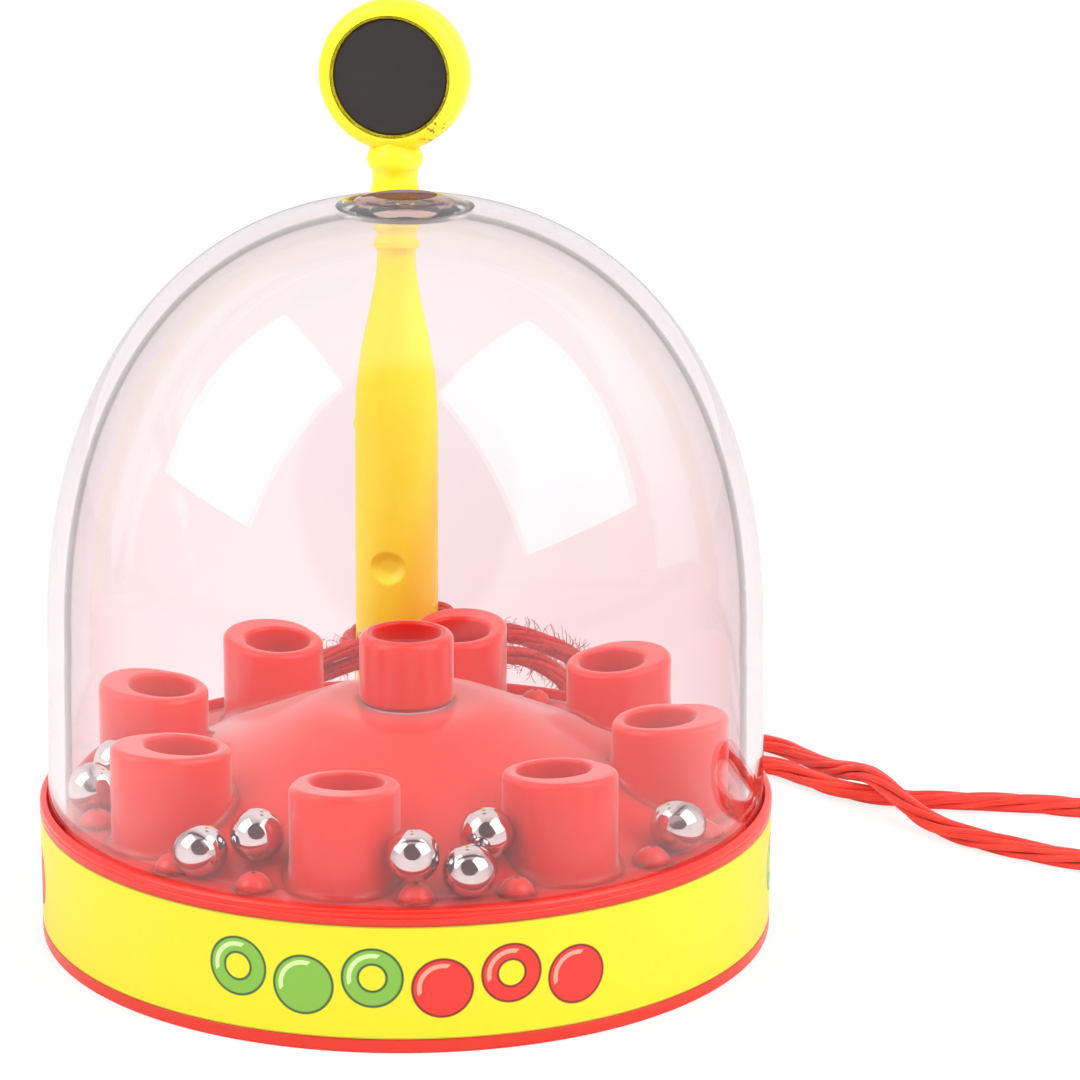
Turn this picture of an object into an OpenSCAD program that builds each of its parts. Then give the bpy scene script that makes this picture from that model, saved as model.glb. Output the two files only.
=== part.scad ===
// Ball drop game: a red base with nine ball cups under a clear dome, and a magnet wand on a cord.
// Lengths are in millimetres, +Z is up, and the origin is the centre of the base's underside.
// The player looks along +Y; angles round the base start at the player and grow to the right.

/* [Base] */
// Outer radius of the base
base_r = 57.5; // [54:0.5:64]
// Height of the base rim above the ground
base_h = 22; // [21:0.5:26]
// Wall of the base skirt
skirt_t = 2.2; // [1.8:0.1:3]
// Wall of the thin rim that stands round the foot of the dome
rim_t = 1.1; // [0.8:0.1:1.6]
// Radius that rounds the top of the rim
rim_round = 0.7; // [0.3:0.1:0.8]
// Thickness of the base floor
floor_t = 2.2; // [1.6:0.1:3]
// Depth of the ring-shaped relief under the floor
relief_h = 0.6; // [0.3:0.1:1]
// Radius of the flat land in the middle of the underside
land_r = 12; // [6:1:20]
// Width of the ring that the base stands on
foot_w = 7.5; // [4:0.5:12]
// Number of ribs that carry the deck
rib_count = 8; // [4:1:12]
// Thickness of one rib
rib_t = 1.6; // [1.2:0.1:2.5]
// Length of one rib along the radius
rib_l = 7; // [4:0.5:12]

/* [Label] */
// Height of the bottom lip under the label
lip_h = 2.2; // [1.5:0.1:4]
// Height of the label band
label_h = 17.4; // [12:0.2:18]
// Thickness of the label band
label_t = 0.25; // [0.1:0.05:0.4]
// Depth of the pocket that the label lies in
label_pocket = 0.35; // [0.2:0.05:0.6]
// Width of the open seam at the back of the label
label_seam = 0.6; // [0.3:0.1:2]

/* [Dome] */
// Wall of the dome
dome_t = 2.6; // [1.8:0.1:3.5]
// Height of the top of the dome
dome_top = 115.4; // [95:0.2:130]
// Height at which the crown springs from the straight wall
spring_z = 45.5; // [35:0.5:60]
// How far the wall draws in from its foot to the springing
dome_draft = 0.5; // [0:0.1:1]
// Fullness of the crown, where 2 is a plain ellipse
crown_power = 2.24; // [2:0.02:2.8]
// Radius of the flat button on top of the dome
button_r = 7.2; // [4:0.2:10]
// Height of the button
button_h = 0.4; // [0.2:0.1:1]
// Radius of the gate lens inside the top of the dome
lens_r = 9.5; // [6:0.5:12]
// Depth of the gate lens below the inner wall
lens_h = 0.7; // [0.3:0.1:1.5]

/* [Deck] */
// Height of the gutter that the balls lie in
gutter_z = 21; // [20:0.2:24]
// Width of the flat gutter inside the dome
gutter_w = 5.6; // [4:0.2:7]
// Height of the deck's crown
crown_z = 36; // [30:0.5:40]
// Radius of the deck's flat crown
crown_r = 14; // [10:0.5:18]
// Radius that blends the crown into the slope
crown_blend = 15; // [5:1:25]
// Radius that blends the slope into the gutter
gutter_blend = 3; // [1:0.5:3.5]
// Thickness of the deck
deck_t = 2; // [1.5:0.1:2.5]
// Thickness of the flange under the dome's foot
flange_t = 1.8; // [1.4:0.1:2.4]

/* [Cups] */
// Number of cups in the ring
cup_count = 8; // [6:1:9]
// Angle of the first cup
cup_phase = -12.5; // [-45:0.5:45]
// Height of the rims of the ring's cups
cup_top = 36; // [32:0.5:42]
// Diameter of a cup's bore
cup_bore = 11; // [9.5:0.1:12]
// Wall of a cup beside its bore
cup_wall = 2.3; // [1.6:0.1:2.6]
// How much thicker a cup's wall is on its outer side
cup_heel = 2.8; // [1.5:0.1:3.5]
// How far a cup's inner wall is thinned
cup_thin = 0.4; // [0:0.1:0.8]
// Gap between a cup and the dome
cup_gap = 3; // [2:0.1:4]
// Radius that rounds a cup's lip
lip_round = 1; // [0.4:0.1:1.2]
// Height of the rim of the middle cup
mid_top = 47; // [43:0.5:52]
// Wall of the middle cup
mid_wall = 1.9; // [1.4:0.1:2.4]
// Depth of the middle cup's bore
mid_depth = 13; // [9:0.5:14]
// Wall of the column that carries the middle cup
column_wall = 1.1; // [0.9:0.1:1.4]
// Height of the middle cup's foot over the crown
mid_foot = 0.6; // [0.2:0.1:2]

/* [Bumps] */
// Radius of a bump in the gutter
bump_r = 2.6; // [2:0.1:2.8]
// Angle from a cup to the bump beside it
bump_angle = 14; // [13:0.5:16]
// Gap between a bump and the dome
bump_gap = 1.5; // [0.8:0.1:2]

/* [Balls] */
// Diameter of a steel ball
ball_d = 8; // [7:0.1:9]
// Gap between a lying ball and the dome
ball_gap = 0.5; // [0.3:0.1:0.8]

/* [Wand] */
// Radius of the wand's grip
grip_r = 7.3; // [6:0.1:8.5]
// Height at which the grip starts to narrow
grip_top = 66; // [55:1:75]
// Radius that rounds the foot of the wand
grip_round = 1.2; // [0.5:0.1:2.5]
// Radius of the neck
neck_r = 3.3; // [2.8:0.1:4]
// Height at which the grip has narrowed to the neck
neck_z = 92.5; // [85:0.5:96]
// Height of the small collar on the neck
collar_z = 95.8; // [94:0.2:98]
// Radius of the small collar
collar_r = 3.9; // [3.5:0.1:5]
// Radius of the skirt above the hidden stretch of the neck
flare_r = 4.35; // [3.6:0.1:5.5]
// Height of the skirt
flare_z = 103.8; // [101:0.2:104.5]
// Radius of the bead under the head
bead_r = 4.75; // [4:0.1:6]
// Height of the head's centre
head_z = 124; // [122:0.5:128]
// Outer radius of the head
head_r = 12.8; // [12:0.1:14]
// Thickness of the head from front to back
head_t = 8; // [7.5:0.2:11]
// Radius that rounds the head's rim
head_round = 2.6; // [1:0.1:2.7]
// Depth of the dish in the back of the head
dish_h = 0.8; // [0.3:0.1:1.2]
// Turn of the wand about its own axis
wand_turn = -13; // [-30:1:30]
// Gap between the wand and the base
wand_gap = 5.7; // [5.4:0.1:9]
// Side shift of the wand from the base's middle
wand_x = -1.7; // [-3:0.1:0]
// Diameter of the round dimple in the grip
dimple_d = 4.9; // [3:0.1:6]
// Depth of the dimple
dimple_h = 1.6; // [0.5:0.1:3]
// Height of the dimple
dimple_z = 38; // [25:1:50]

/* [Magnet] */
// Diameter of the magnet disc
magnet_d = 19.6; // [18:0.1:20]
// Thickness of the magnet disc
magnet_t = 5; // [3:0.1:5.5]
// Gap between the magnet and its pocket
magnet_fit = 0.1; // [0.05:0.05:0.3]
// How far the magnet's face lies behind the rim
magnet_sink = 0.4; // [0:0.1:1]
// Width of the bevel round the magnet's face
magnet_bevel = 0.3; // [0.1:0.1:0.6]

/* [Cord] */
// Diameter of the cord
cord_d = 3.4; // [3:0.1:3.6]
// Radius of the knot
knot_r = 3.3; // [3.2:0.1:3.6]
// Length of the knot
knot_l = 9; // [8:0.5:10]
// Tilt of the turn round the grip, whose left side hangs lower
tie_tilt = 16; // [0:1:20]

/* [Hidden] */
$fn = 96;

// Running gap between pieces that are dropped into each other
fit = 0.2;
// Gap left under a ball so that it lies free
rest_gap = 0.06;
// Overlap that makes two bodies of one piece grow together
weld = 0.4;
// Steps in an arc of a profile
arc_steps = 6;
// Steps along the dome's crown
crown_steps = 30;
// Turns in which a ball settles beside the cups and the other balls
settle_turns = 12;

red = [0.90, 0.22, 0.20];
yellow = [0.98, 0.82, 0.16];
label_yellow = [1.0, 0.94, 0.15];
clear = [0.95, 0.88, 0.92, 0.3];
steel = [0.75, 0.75, 0.76];
magnet_grey = [0.27, 0.25, 0.25];
cord_red = [0.86, 0.12, 0.09];

// The rim holds the dome, the dome holds the deck, and the ledge carries both
seat_r = base_r - rim_t;
skirt_in_r = base_r - skirt_t;
dome_r = seat_r - fit;
dome_in_r = dome_r - dome_t;
deck_r = dome_in_r - fit;
foot_z = gutter_z - flange_t;
ledge_z = foot_z - flange_t;
spring_r = dome_r - dome_draft;

// Cups, bumps and balls are placed from the inside of the dome
cup_r = cup_bore / 2 + cup_wall;
heel_r = dome_in_r - cup_gap - cup_r;
ring_r = heel_r - cup_heel;
gutter_r = dome_in_r - gutter_w;
bump_ring_r = dome_in_r - bump_gap - bump_r;
ball_r = ball_d / 2;
nest_r = dome_in_r - ball_gap - ball_r;
slope = (crown_z - gutter_z) / (gutter_r - crown_r);
slope_angle = atan(slope);
mid_r = cup_bore / 2 + mid_wall;
column_r = cup_bore / 2 + column_wall;

// Each ball: its angle round the base, and how far it lies inward from the dome's wall
BALLS = [[-37.5, 0], [-29.8, 5.2], [0.9, 0.7], [10.5, 0.1], [16, 7], [54.4, 0],
    [-78.4, 0], [-87.1, 3.9]];

// The wand stands behind the base
wand_y = base_r + wand_gap + grip_r;
knot_y = wand_y - grip_r - knot_r - fit;
knot_x = -0.5;
knot_z = 26.6;
cord_r = cord_d / 2;
knot_end = knot_x + knot_l / 2;
// The tilted turn is wider, so that its sides still clear the grip
tie_r = (grip_r + fit / 2 + cord_r) / cos(tie_tilt);

// The cord's way from the knot: down to the ground, across itself, round and back to the knot
LOOP = [
    [knot_end, knot_y, 28.3], [8, 60, 29.2], [13.5, 60.8, 29.5], [19.5, 62, 28.4], [25.5, 63.8, 26],
    [31.5, 66.2, 22.5], [37.5, 69.2, 18.2], [43.5, 72.8, 13.5], [49, 76.4, 8.8], [54, 79.6, 4.9],
    [59, 81.8, 2.5], [63.8, 81.4, 1.8], [67.6, 78, 1.8], [70.4, 73.4, 1.8], [73.2, 68, 2.1],
    [75.8, 62, 3.2], [78, 56.4, 4.7], [80.2, 51.2, 5.5], [82.6, 46.2, 4.9], [85.8, 40.8, 3.2],
    [89.4, 35.6, 2.1], [94, 30.6, 1.8], [99.4, 26, 1.8], [105.4, 21.8, 1.8], [111.8, 18, 1.8],
    [118.6, 14.8, 1.8], [125.8, 13.2, 1.8], [132.8, 14.2, 1.8], [138.6, 18, 1.8],
    [141.6, 24, 1.8], [141.2, 30.8, 1.8], [137.4, 36.4, 1.8], [131.4, 40.2, 1.8],
    [124.4, 42.6, 1.8], [117, 44.4, 1.8], [109.4, 46.6, 1.8], [101.8, 48, 1.8], [94, 48.9, 1.8],
    [86.4, 50, 1.8], [79.4, 52.6, 1.8], [74, 56.8, 1.8], [70, 61.8, 1.8], [66.4, 66.6, 1.8],
    [61.8, 69.6, 1.8], [56.4, 69, 1.9], [50.8, 66.8, 2.4], [45.4, 64.4, 4], [40.4, 62.4, 7],
    [35.8, 60.8, 11.4], [31.6, 59.6, 16.8], [27.6, 59, 21.6], [23.4, 58.9, 24.5],
    [18.4, 59, 25.6], [13, 59.3, 25.7], [8, 59.7, 25.3], [knot_end, knot_y, 24.9]];
// The two short tails, from the knot down to their frayed ends
TAILS = [
    [[knot_x - knot_l / 2, knot_y - 1.3, 28.1], [-8, 58.6, 27.5], [-11, 58.9, 26.6],
        [-14, 59.4, 25.4], [-17.2, 60.2, 23.9], [-20.2, 61.2, 22.6]],
    [[knot_x - knot_l / 2, knot_y - 1.3, 25.1], [-8, 58.7, 24.5], [-11, 59.2, 23.5],
        [-14, 59.9, 22.3], [-17, 60.8, 21], [-19.6, 61.8, 19.8]]];

// Points of an arc that rounds the corner b between a and c with radius r
function corner(a, b, c, r) =
    let (u = (a - b) / norm(a - b), v = (c - b) / norm(c - b), half = acos(u * v) / 2,
        mid = (u + v) / norm(u + v), centre = b + mid * r / sin(half),
        from = b + u * r / tan(half), to = b + v * r / tan(half))
    [for (i = [0:arc_steps]) let (p = from + (to - from) * i / arc_steps - centre)
        centre + r * p / norm(p)];

// Height of the deck under a ball's centre at distance r: the gutter or the slope, whichever is higher
function lie_z(r) = max(gutter_z + ball_r, gutter_z + (gutter_r - r) * slope + ball_r / cos(slope_angle));

// Place of a cup or a ball on the plan
function polar(r, a) = [r * sin(a), -r * cos(a)];
BUMPS = [for (i = [0:cup_count - 1], s = [-1, 1])
    polar(bump_ring_r, cup_phase + i * 360 / cup_count + s * bump_angle)];
// Height at which a ball at p would touch the nearest bump, or the ground if it misses them all
function bump_z(p) = let (reach = bump_r + ball_r,
    near = min([for (b = BUMPS) norm(b - p)])) near < reach ? gutter_z + sqrt(reach ^ 2 - near ^ 2) : 0;

// Moves p out from the points of a list that lie nearer than reach
function away(p, points, reach, i = 0) = i == len(points) ? p
    : let (d = p - points[i])
        away(norm(d) < reach ? points[i] + d * reach / norm(d) : p, points, reach, i + 1);
// The points of the cups' middle lines that lie nearest to p
function beside(p) = [for (i = [0:cup_count - 1]) let (u = polar(1, cup_phase + i * 360 / cup_count))
    u * min(heel_r, max(ring_r + cup_thin, p * u))];
// Slides a ball clear of the cups and of the balls placed before it, and keeps it inside the dome
function settle(p, placed, turns) = turns == 0 ? p
    : let (q = away(away(p, beside(p), cup_r + ball_r + fit / 2), placed, ball_d + fit / 2))
        settle(q * min(1, nest_r / norm(q)), placed, turns - 1);
function plan(placed = []) = len(placed) == len(BALLS) ? placed
    : let (b = BALLS[len(placed)])
        plan(concat(placed, [settle(polar(nest_r - b[1], b[0]), placed, settle_turns)]));
PLAN = plan();
function ball_place(i) = let (p = PLAN[i])
    [p.x, p.y, max(lie_z(norm(p)), bump_z(p)) + rest_gap];

// Half outline of a superellipse dome, from its springing to its top
function crown(r, z0, top) = [for (i = [0:crown_steps]) let (s = 90 * i / crown_steps)
    [r * cos(s) ^ (2 / crown_power), z0 + (top - z0) * sin(s) ^ (2 / crown_power)]];

module base_tray() color(red) {
    rotate_extrude() polygon(concat(
        [[0, 0], [land_r, 0], [land_r, relief_h], [base_r - foot_w, relief_h],
            [base_r - foot_w, 0], [base_r - 0.5, 0], [base_r, 0.5], [base_r, lip_h],
            [base_r - label_pocket, lip_h], [base_r - label_pocket, lip_h + label_h],
            [base_r, lip_h + label_h]],
        corner([base_r, ledge_z], [base_r, base_h], [0, base_h], rim_round),
        [[seat_r, base_h], [seat_r, ledge_z], [skirt_in_r, ledge_z], [skirt_in_r, floor_t],
            [0, floor_t]]));
    for (i = [0:rib_count - 1])
        rotate(cup_phase + (i + 0.5) * 360 / rib_count)
            translate([-rib_t / 2, -skirt_in_r - weld, floor_t - weld])
                cube([rib_t, rib_l + weld, ledge_z - floor_t + weld]);
}

module label_band() color(label_yellow)
    difference() {
        rotate_extrude()
            translate([base_r - label_pocket + 0.04, lip_h + 0.05])
                square([label_t, label_h - 0.1]);
        translate([-label_seam / 2, 0, 0]) cube([label_seam, base_r + 1, base_h]);
    }

// One cup of the ring: a stadium whose far end is the thick heel, with a rounded lip
module cup_body() {
    lip = concat([[0, gutter_z - deck_t], [cup_r, gutter_z - deck_t]],
        corner([cup_r, gutter_z], [cup_r, cup_top], [0, cup_top], lip_round), [[0, cup_top]]);
    for (x = [cup_thin, cup_heel]) translate([x, 0, 0]) rotate_extrude() polygon(lip);
    translate([cup_thin, 0, 0]) rotate([90, 0, 90])
        linear_extrude(cup_heel - cup_thin) polygon(concat(lip, [for (i = [len(lip) - 2:-1:1])
            [-lip[i].x, lip[i].y]]));
}

module place_cups() for (i = [0:cup_count - 1])
    rotate(cup_phase + i * 360 / cup_count - 90) translate([ring_r, 0, 0]) children();

module mid_cup() {
    rotate_extrude() polygon(concat(
        [[0, mid_top - mid_depth - deck_t], [column_r, mid_top - mid_depth - deck_t],
            [column_r, crown_z + mid_foot], [mid_r, crown_z + mid_foot]],
        corner([mid_r, crown_z], [mid_r, mid_top], [0, mid_top], lip_round), [[0, mid_top]]));
}

// The deck's section: crown, slope, gutter, the step for the dome and the flange under it
module deck_shell() {
    lean = tan(slope_angle / 2) * deck_t;
    rotate_extrude() polygon(concat(
        [[0, crown_z]],
        corner([0, crown_z], [crown_r, crown_z], [gutter_r, gutter_z], crown_blend),
        corner([crown_r, crown_z], [gutter_r, gutter_z], [deck_r, gutter_z], gutter_blend),
        [[deck_r, gutter_z], [deck_r, foot_z], [seat_r - fit, foot_z], [seat_r - fit, ledge_z],
            [deck_r - 2 * fit, ledge_z], [deck_r - deck_t, gutter_z - deck_t],
            [gutter_r - lean, gutter_z - deck_t], [crown_r - lean, crown_z - deck_t],
            [0, crown_z - deck_t]]));
}

module play_deck() color(red)
    difference() {
        union() {
            deck_shell();
            place_cups() cup_body();
            mid_cup();
            for (p = BUMPS) translate([p.x, p.y, gutter_z]) sphere(bump_r, $fn = 40);
        }
        place_cups() translate([0, 0, gutter_z + weld]) cylinder(h = cup_top, d = cup_bore);
        translate([0, 0, mid_top - mid_depth]) cylinder(h = mid_top, d = cup_bore);
        // The bumps' lower halves are cut away under the deck
        translate([0, 0, gutter_z - deck_t - bump_r]) difference() {
            cylinder(h = bump_r, r = deck_r - deck_t);
            cylinder(h = bump_r, r = heel_r);
        }
    }

module dome() color(clear)
    difference() {
        union() {
            rotate_extrude() polygon(concat([[0, foot_z], [dome_r, foot_z]],
                crown(spring_r, spring_z, dome_top)));
            translate([0, 0, dome_top - 1]) cylinder(h = 1 + button_h, r = button_r);
        }
        difference() {
            rotate_extrude() polygon(concat([[0, foot_z - 1], [dome_in_r, foot_z - 1]],
                crown(spring_r - dome_t, spring_z, dome_top - dome_t)));
            translate([0, 0, dome_top - dome_t - lens_h - 1.2]) cylinder(h = 4, r = lens_r);
        }
    }

// The grip, its neck with collar, skirt and bead, as one turned shape
module wand_stem() {
    bead_z = head_z - head_r - 1.4;
    rotate_extrude() polygon(concat(
        [[0, 0]], corner([0, 0], [grip_r, 0], [grip_r, grip_top], grip_round),
        [for (i = [0:8]) let (t = i / 8, s = (1 - cos(180 * t ^ 0.9)) / 2)
            [grip_r + (neck_r - grip_r) * s, grip_top + (neck_z - grip_top) * t]],
        [[neck_r, collar_z - 1], [collar_r, collar_z - 0.5], [collar_r, collar_z + 0.5],
            [neck_r + 0.2, collar_z + 1]],
        [for (i = [0:4]) let (a = 90 * i / 4)
            [neck_r + 0.2 + (flare_r - neck_r - 0.2) * sin(a), flare_z - 4 * (1 - i / 4)]],
        [[flare_r - 0.6, flare_z + 2.2]],
        [for (i = [0:6]) let (a = -60 + 120 * i / 6)
            [bead_r - 1.6 + 1.6 * cos(a), bead_z + 2.2 * sin(a)]],
        [[flare_r - 0.6, bead_z + 2.4], [flare_r - 0.6, bead_z + 4], [0, bead_z + 4]]));
}

// The round head that holds the magnet, turned about the Y axis
module wand_head() {
    pocket_r = magnet_d / 2 + magnet_fit;
    pocket_h = magnet_t + magnet_sink;
    rotate([90, 0, 0]) translate([0, 0, -head_t / 2]) rotate_extrude() polygon(concat(
        [[0, dish_h], [head_r - head_round - 1, 0]],
        corner([0, 0], [head_r, 0], [head_r, head_t], head_round),
        corner([head_r, 0], [head_r, head_t], [0, head_t], head_round),
        [[pocket_r, head_t], [pocket_r, head_t - pocket_h], [0, head_t - pocket_h]]));
}

module place_wand() translate([wand_x, wand_y, 0]) rotate(wand_turn) children();

module wand() color(yellow) place_wand()
    difference() {
        union() {
            difference() {
                wand_stem();
                translate([0, 0, head_z]) rotate([90, 0, 0])
                    cylinder(h = 2 * head_t, r = head_r - head_round, center = true);
            }
            translate([0, 0, head_z]) wand_head();
        }
        translate([0, -grip_r + dimple_h, dimple_z]) rotate([90, 0, 0])
            cylinder(h = grip_r, d = dimple_d);
    }

module magnet_disc() color(magnet_grey) place_wand()
    translate([0, -head_t / 2 + magnet_sink + magnet_t, head_z]) rotate([90, 0, 0])
        rotate_extrude() polygon([[0, 0], [magnet_d / 2, 0],
            [magnet_d / 2, magnet_t - magnet_bevel],
            [magnet_d / 2 - magnet_bevel, magnet_t], [0, magnet_t]]);

// A tube along a route, whose radius tapers from r0 to r1
module tube(route, r0, r1, sides) {
    n = len(route);
    ring = [for (i = [0:n - 1]) let (
        t = (route[min(i + 1, n - 1)] - route[max(i - 1, 0)]),
        // An end ring stands square to the knot's flat end
        way = i == 0 || i == n - 1 ? [sign(t.x), 0, 0] : t / norm(t),
        side = cross(way, [0, 0, 1]) / norm(cross(way, [0, 0, 1])), up = cross(side, way),
        r = r0 + (r1 - r0) * i / (n - 1))
        each [for (k = [0:sides - 1]) let (a = 360 * (k + 0.5) / sides)
            route[i] + r * (cos(a) * side + sin(a) * up)]];
    faces = concat([[for (k = [0:sides - 1]) k]],
        [for (i = [0:n - 2], k = [0:sides - 1]) let (a = i * sides + k,
            b = i * sides + (k + 1) % sides) each [[a, a + sides, b], [b, a + sides, b + sides]]],
        [[for (k = [sides - 1:-1:0]) (n - 1) * sides + k]]);
    polyhedron(ring, faces, convexity = 8);
}

// The knot on the front of the grip, and the turn that ties it round the grip
module cord_knot() color(cord_red) {
    translate([knot_x, knot_y, knot_z]) rotate([0, 90, 0]) rotate_extrude() polygon([
        [0, -knot_l / 2], [knot_r - 0.2, -knot_l / 2], [knot_r, -knot_l / 4],
        [knot_r, knot_l / 4], [knot_r - 0.2, knot_l / 2], [0, knot_l / 2]]);
    translate([wand_x, wand_y, knot_z]) rotate([0, -tie_tilt, 0]) rotate_extrude()
        translate([tie_r, 0]) circle(cord_r, $fn = 24);
}

module cord_tails() color(cord_red) for (t = TAILS) tube(t, cord_r * 0.85, cord_r * 0.6, 8);

module cord_loop() color(cord_red) tube(LOOP, cord_r * 0.98, cord_r * 0.98, 8);

module ball(i) color(steel) translate(ball_place(i)) sphere(ball_r, $fn = 64);

base_tray();
label_band();
play_deck();
dome();
wand();
magnet_disc();
cord_knot();
cord_tails();
cord_loop();
ball(0);  // ball_1
ball(1);  // ball_2
ball(2);  // ball_3
ball(3);  // ball_4
ball(4);  // ball_5
ball(5);  // ball_6
ball(6);  // ball_7
ball(7);  // ball_8
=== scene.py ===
# The finished look of a ball drop game: base, deck, dome, wand, cord and steel balls.
# Sizes are in millimetres until a mesh is made, +Z is up, and the player sits at -Y.
from math import cos, pi, radians, sin

import bmesh
import bpy
import numpy as np
from mathutils import Matrix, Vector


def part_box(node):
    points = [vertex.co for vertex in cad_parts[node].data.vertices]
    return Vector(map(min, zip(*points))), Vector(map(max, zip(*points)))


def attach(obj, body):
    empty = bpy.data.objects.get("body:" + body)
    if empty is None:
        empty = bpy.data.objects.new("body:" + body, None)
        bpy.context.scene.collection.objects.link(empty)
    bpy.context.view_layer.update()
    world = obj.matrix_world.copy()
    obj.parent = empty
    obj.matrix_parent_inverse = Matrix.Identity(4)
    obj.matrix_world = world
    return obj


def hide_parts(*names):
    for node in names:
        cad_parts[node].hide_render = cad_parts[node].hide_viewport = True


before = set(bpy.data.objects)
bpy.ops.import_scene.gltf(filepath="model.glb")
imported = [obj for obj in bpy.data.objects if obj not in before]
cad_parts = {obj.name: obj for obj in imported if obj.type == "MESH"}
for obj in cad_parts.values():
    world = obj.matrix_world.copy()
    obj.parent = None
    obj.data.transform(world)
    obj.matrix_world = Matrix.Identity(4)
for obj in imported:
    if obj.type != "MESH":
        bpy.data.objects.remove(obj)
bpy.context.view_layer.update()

# The camera
# A long lens 580 mm in front of the base's middle and 218 mm above the table, tipped down onto the
# dome and turned a little to the right. It was fitted to the round edges of the base, deck and dome.
eye = np.array([0.0, -580.0, 217.76])
film_width = 36.0
lens = 129.02
tip_down, turn_right, roll = 0.26279, 0.03579, 0.00633

ahead = np.array([sin(turn_right) * cos(tip_down), cos(turn_right) * cos(tip_down), -sin(tip_down)])
level = np.array([cos(turn_right), -sin(turn_right), 0.0])
right = level * cos(roll) + np.cross(level, ahead) * sin(roll)
up = np.cross(right, ahead)
camera = bpy.data.objects.new("camera", bpy.data.cameras.new("camera"))
camera.data.lens = lens
camera.data.sensor_width = film_width
camera.data.sensor_fit = "HORIZONTAL"
camera.data.clip_start = 0.01
camera.matrix_world = Matrix(np.vstack([
    np.column_stack([right, up, -ahead, eye / 1000]), [0, 0, 0, 1]]).tolist())
bpy.context.collection.objects.link(camera)
bpy.context.scene.camera = camera
bpy.context.scene.view_settings.view_transform = "Standard"

# The cord
# Red rayon twine of seven soft plies, laid with hardly any twist. It is tied round the grip with one
# turn and a barrel knot, and its long end is one closed loop that lies on the table.
cord_d = 3.4
plies = 7
ply_r = 0.6
ply_turn = 62.0
grip_r, wand_x, wand_y = 7.3, -1.7, 70.5
knot_x, knot_y, knot_z, knot_l, knot_r = -0.5, 59.7, 26.6, 9.0, 3.3
knot_end = knot_x + knot_l / 2
LOOP = [
    (knot_end, knot_y, 28.3), (8, 60, 29.2), (13.5, 60.8, 29.5), (19.5, 62, 28.4), (25.5, 63.8, 26),
    (31.5, 66.2, 22.5), (37.5, 69.2, 18.2), (43.5, 72.8, 13.5), (49, 76.4, 8.8), (54, 79.6, 4.9),
    (59, 81.8, 2.5), (63.8, 81.4, 1.8), (67.6, 78, 1.8), (70.4, 73.4, 1.8), (73.2, 68, 2.1),
    (75.8, 62, 3.2), (78, 56.4, 4.7), (80.2, 51.2, 5.5), (82.6, 46.2, 4.9), (85.8, 40.8, 3.2),
    (89.4, 35.6, 2.1), (94, 30.6, 1.8), (99.4, 26, 1.8), (105.4, 21.8, 1.8), (111.8, 18, 1.8),
    (118.6, 14.8, 1.8), (125.8, 13.2, 1.8), (132.8, 14.2, 1.8), (138.6, 18, 1.8),
    (141.6, 24, 1.8), (141.2, 30.8, 1.8), (137.4, 36.4, 1.8), (131.4, 40.2, 1.8),
    (124.4, 42.6, 1.8), (117, 44.4, 1.8), (109.4, 46.6, 1.8), (101.8, 48, 1.8), (94, 48.9, 1.8),
    (86.4, 50, 1.8), (79.4, 52.6, 1.8), (74, 56.8, 1.8), (70, 61.8, 1.8), (66.4, 66.6, 1.8),
    (61.8, 69.6, 1.8), (56.4, 69, 1.9), (50.8, 66.8, 2.4), (45.4, 64.4, 4), (40.4, 62.4, 7),
    (35.8, 60.8, 11.4), (31.6, 59.6, 16.8), (27.6, 59, 21.6), (23.4, 58.9, 24.5),
    (18.4, 59, 25.6), (13, 59.3, 25.7), (8, 59.7, 25.3), (knot_end, knot_y, 24.9)]
TAILS = [
    [(knot_x - knot_l / 2, knot_y - 1.3, 28.1), (-8, 58.6, 27.5), (-11, 58.9, 26.6),
        (-14, 59.4, 25.4), (-17.2, 60.2, 23.9), (-20.2, 61.2, 22.6)],
    [(knot_x - knot_l / 2, knot_y - 1.3, 25.1), (-8, 58.7, 24.5), (-11, 59.2, 23.5),
        (-14, 59.9, 22.3), (-17, 60.8, 21), (-19.6, 61.8, 19.8)]]


def smooth_path(points, step):
    """A Catmull-Rom curve through the points, with a point about every step along it."""
    p = np.array(points, float)
    p = np.vstack([2 * p[0] - p[1], p, 2 * p[-1] - p[-2]])
    spans = np.linalg.norm(np.diff(p[1:-1], axis=0), axis=1)
    pieces = []
    for i, span in enumerate(spans):
        t = np.arange(0, 1, 1 / max(2, round(span / step)))[:, None]
        a, b, c, d = p[i:i + 4]
        pieces.append(0.5 * (2 * b + (c - a) * t + (2 * a - 5 * b + 4 * c - d) * t ** 2
                             + (3 * b - a - 3 * c + d) * t ** 3))
    return np.vstack(pieces + [p[-2:-1]])


def frames(path, upright):
    """The side and upper directions at each point: the side is square to the path and to upright."""
    way = np.gradient(path, axis=0)
    way /= np.linalg.norm(way, axis=1)[:, None]
    side = np.cross(way, upright)
    side /= np.linalg.norm(side, axis=1)[:, None]
    return side, np.cross(side, way)


def tube(path, radius, upright, sides=9):
    """A grid of points: a ring of the radius round every point of the path."""
    side, above = frames(path, upright)
    turn = np.linspace(0, 2 * pi, sides, endpoint=False)
    ring = (side[:, None] * np.cos(turn)[None, :, None] + above[:, None] * np.sin(turn)[None, :, None])
    return path[:, None] + np.broadcast_to(radius, len(path))[:, None, None] * ring


def closed_ends(grid):
    """The same grid with each end drawn in to its middle, so that the tube is closed."""
    return np.concatenate([grid[:1] * 0 + grid[:1].mean(1, keepdims=True), grid,
                           grid[-1:] * 0 + grid[-1:].mean(1, keepdims=True)])


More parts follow.
